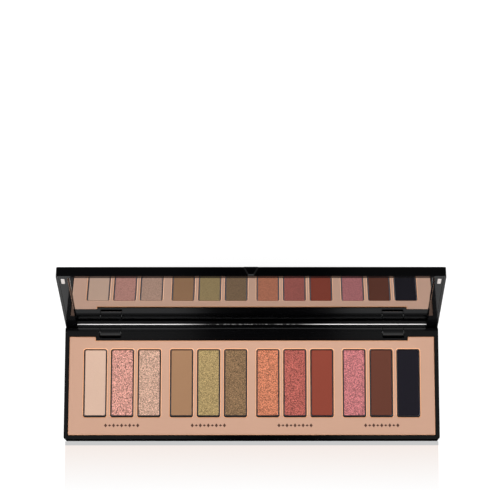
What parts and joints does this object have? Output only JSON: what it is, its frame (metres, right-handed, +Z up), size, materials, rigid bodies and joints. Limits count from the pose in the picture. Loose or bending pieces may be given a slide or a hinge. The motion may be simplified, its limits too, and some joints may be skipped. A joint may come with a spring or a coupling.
{
  "type": "eyeshadow palette",
  "caption": "Slim black compact with a mirrored flip-up lid, a rose-gold face plate and a row of pressed eyeshadows in metal pans.",
  "frame": {"origin": "centre of the flat underside of the base", "axes": "+X along the long side, +Y from the user towards the hinge, +Z up; the lid stands open at rest"},
  "size_m": [0.187, 0.077, 0.0574],
  "materials": {
    "gloss_black": "polished black ABS, mirror-like",
    "satin_black": "plain moulded black",
    "rose_gold": "satin rose-gold metallised plate",
    "mirror": "silvered glass with a bevelled edge",
    "foam_tape": "double-sided foam tape",
    "pan_metal": "tin-plated pressed steel",
    "steel": "drawn steel",
    "magnet": "satin nickel plate",
    "powder_sand": "pressed matte powder",
    "powder_rose": "pressed shimmer powder",
    "powder_champagne": "pressed shimmer powder",
    "powder_tan": "pressed matte powder",
    "powder_olive_gold": "pressed shimmer powder",
    "powder_bronze": "pressed shimmer powder",
    "powder_copper": "pressed shimmer powder",
    "powder_coral": "pressed shimmer powder",
    "powder_brick": "pressed matte powder",
    "powder_mauve": "pressed shimmer powder",
    "powder_chocolate": "pressed matte powder",
    "powder_midnight": "pressed matte powder"
  },
  "bodies": {
    "base": {"base_shell": "gloss_black", "pan_tray": "satin_black", "face_plate": "rose_gold", "pan_01": "pan_metal", "pan_02": "pan_metal", "pan_03": "pan_metal", "pan_04": "pan_metal", "pan_05": "pan_metal", "pan_06": "pan_metal", "pan_07": "pan_metal", "pan_08": "pan_metal", "pan_09": "pan_metal", "pan_10": "pan_metal", "pan_11": "pan_metal", "pan_12": "pan_metal", "powder_01": "powder_sand", "powder_02": "powder_rose", "powder_03": "powder_champagne", "powder_04": "powder_tan", "powder_05": "powder_olive_gold", "powder_06": "powder_bronze", "powder_07": "powder_copper", "powder_08": "powder_coral", "powder_09": "powder_brick", "powder_10": "powder_mauve", "powder_11": "powder_chocolate", "powder_12": "powder_midnight", "base_magnet_left": "magnet", "base_magnet_right": "magnet", "hinge_pin_left": "steel", "hinge_pin_right": "steel"},
    "lid": {"lid_shell": "gloss_black", "lid_frame": "gloss_black", "mirror": "mirror", "mirror_tape": "foam_tape", "lid_magnet_left": "magnet", "lid_magnet_right": "magnet"}
  },
  "joints": [
    {"name": "lid_hinge", "type": "hinge", "parent": "base", "child": "lid", "pos_m": [0, 0.0259, 0.0054], "axis": [-1, 0, 0], "range_deg": [-106.2, 3.8]}
  ]
}
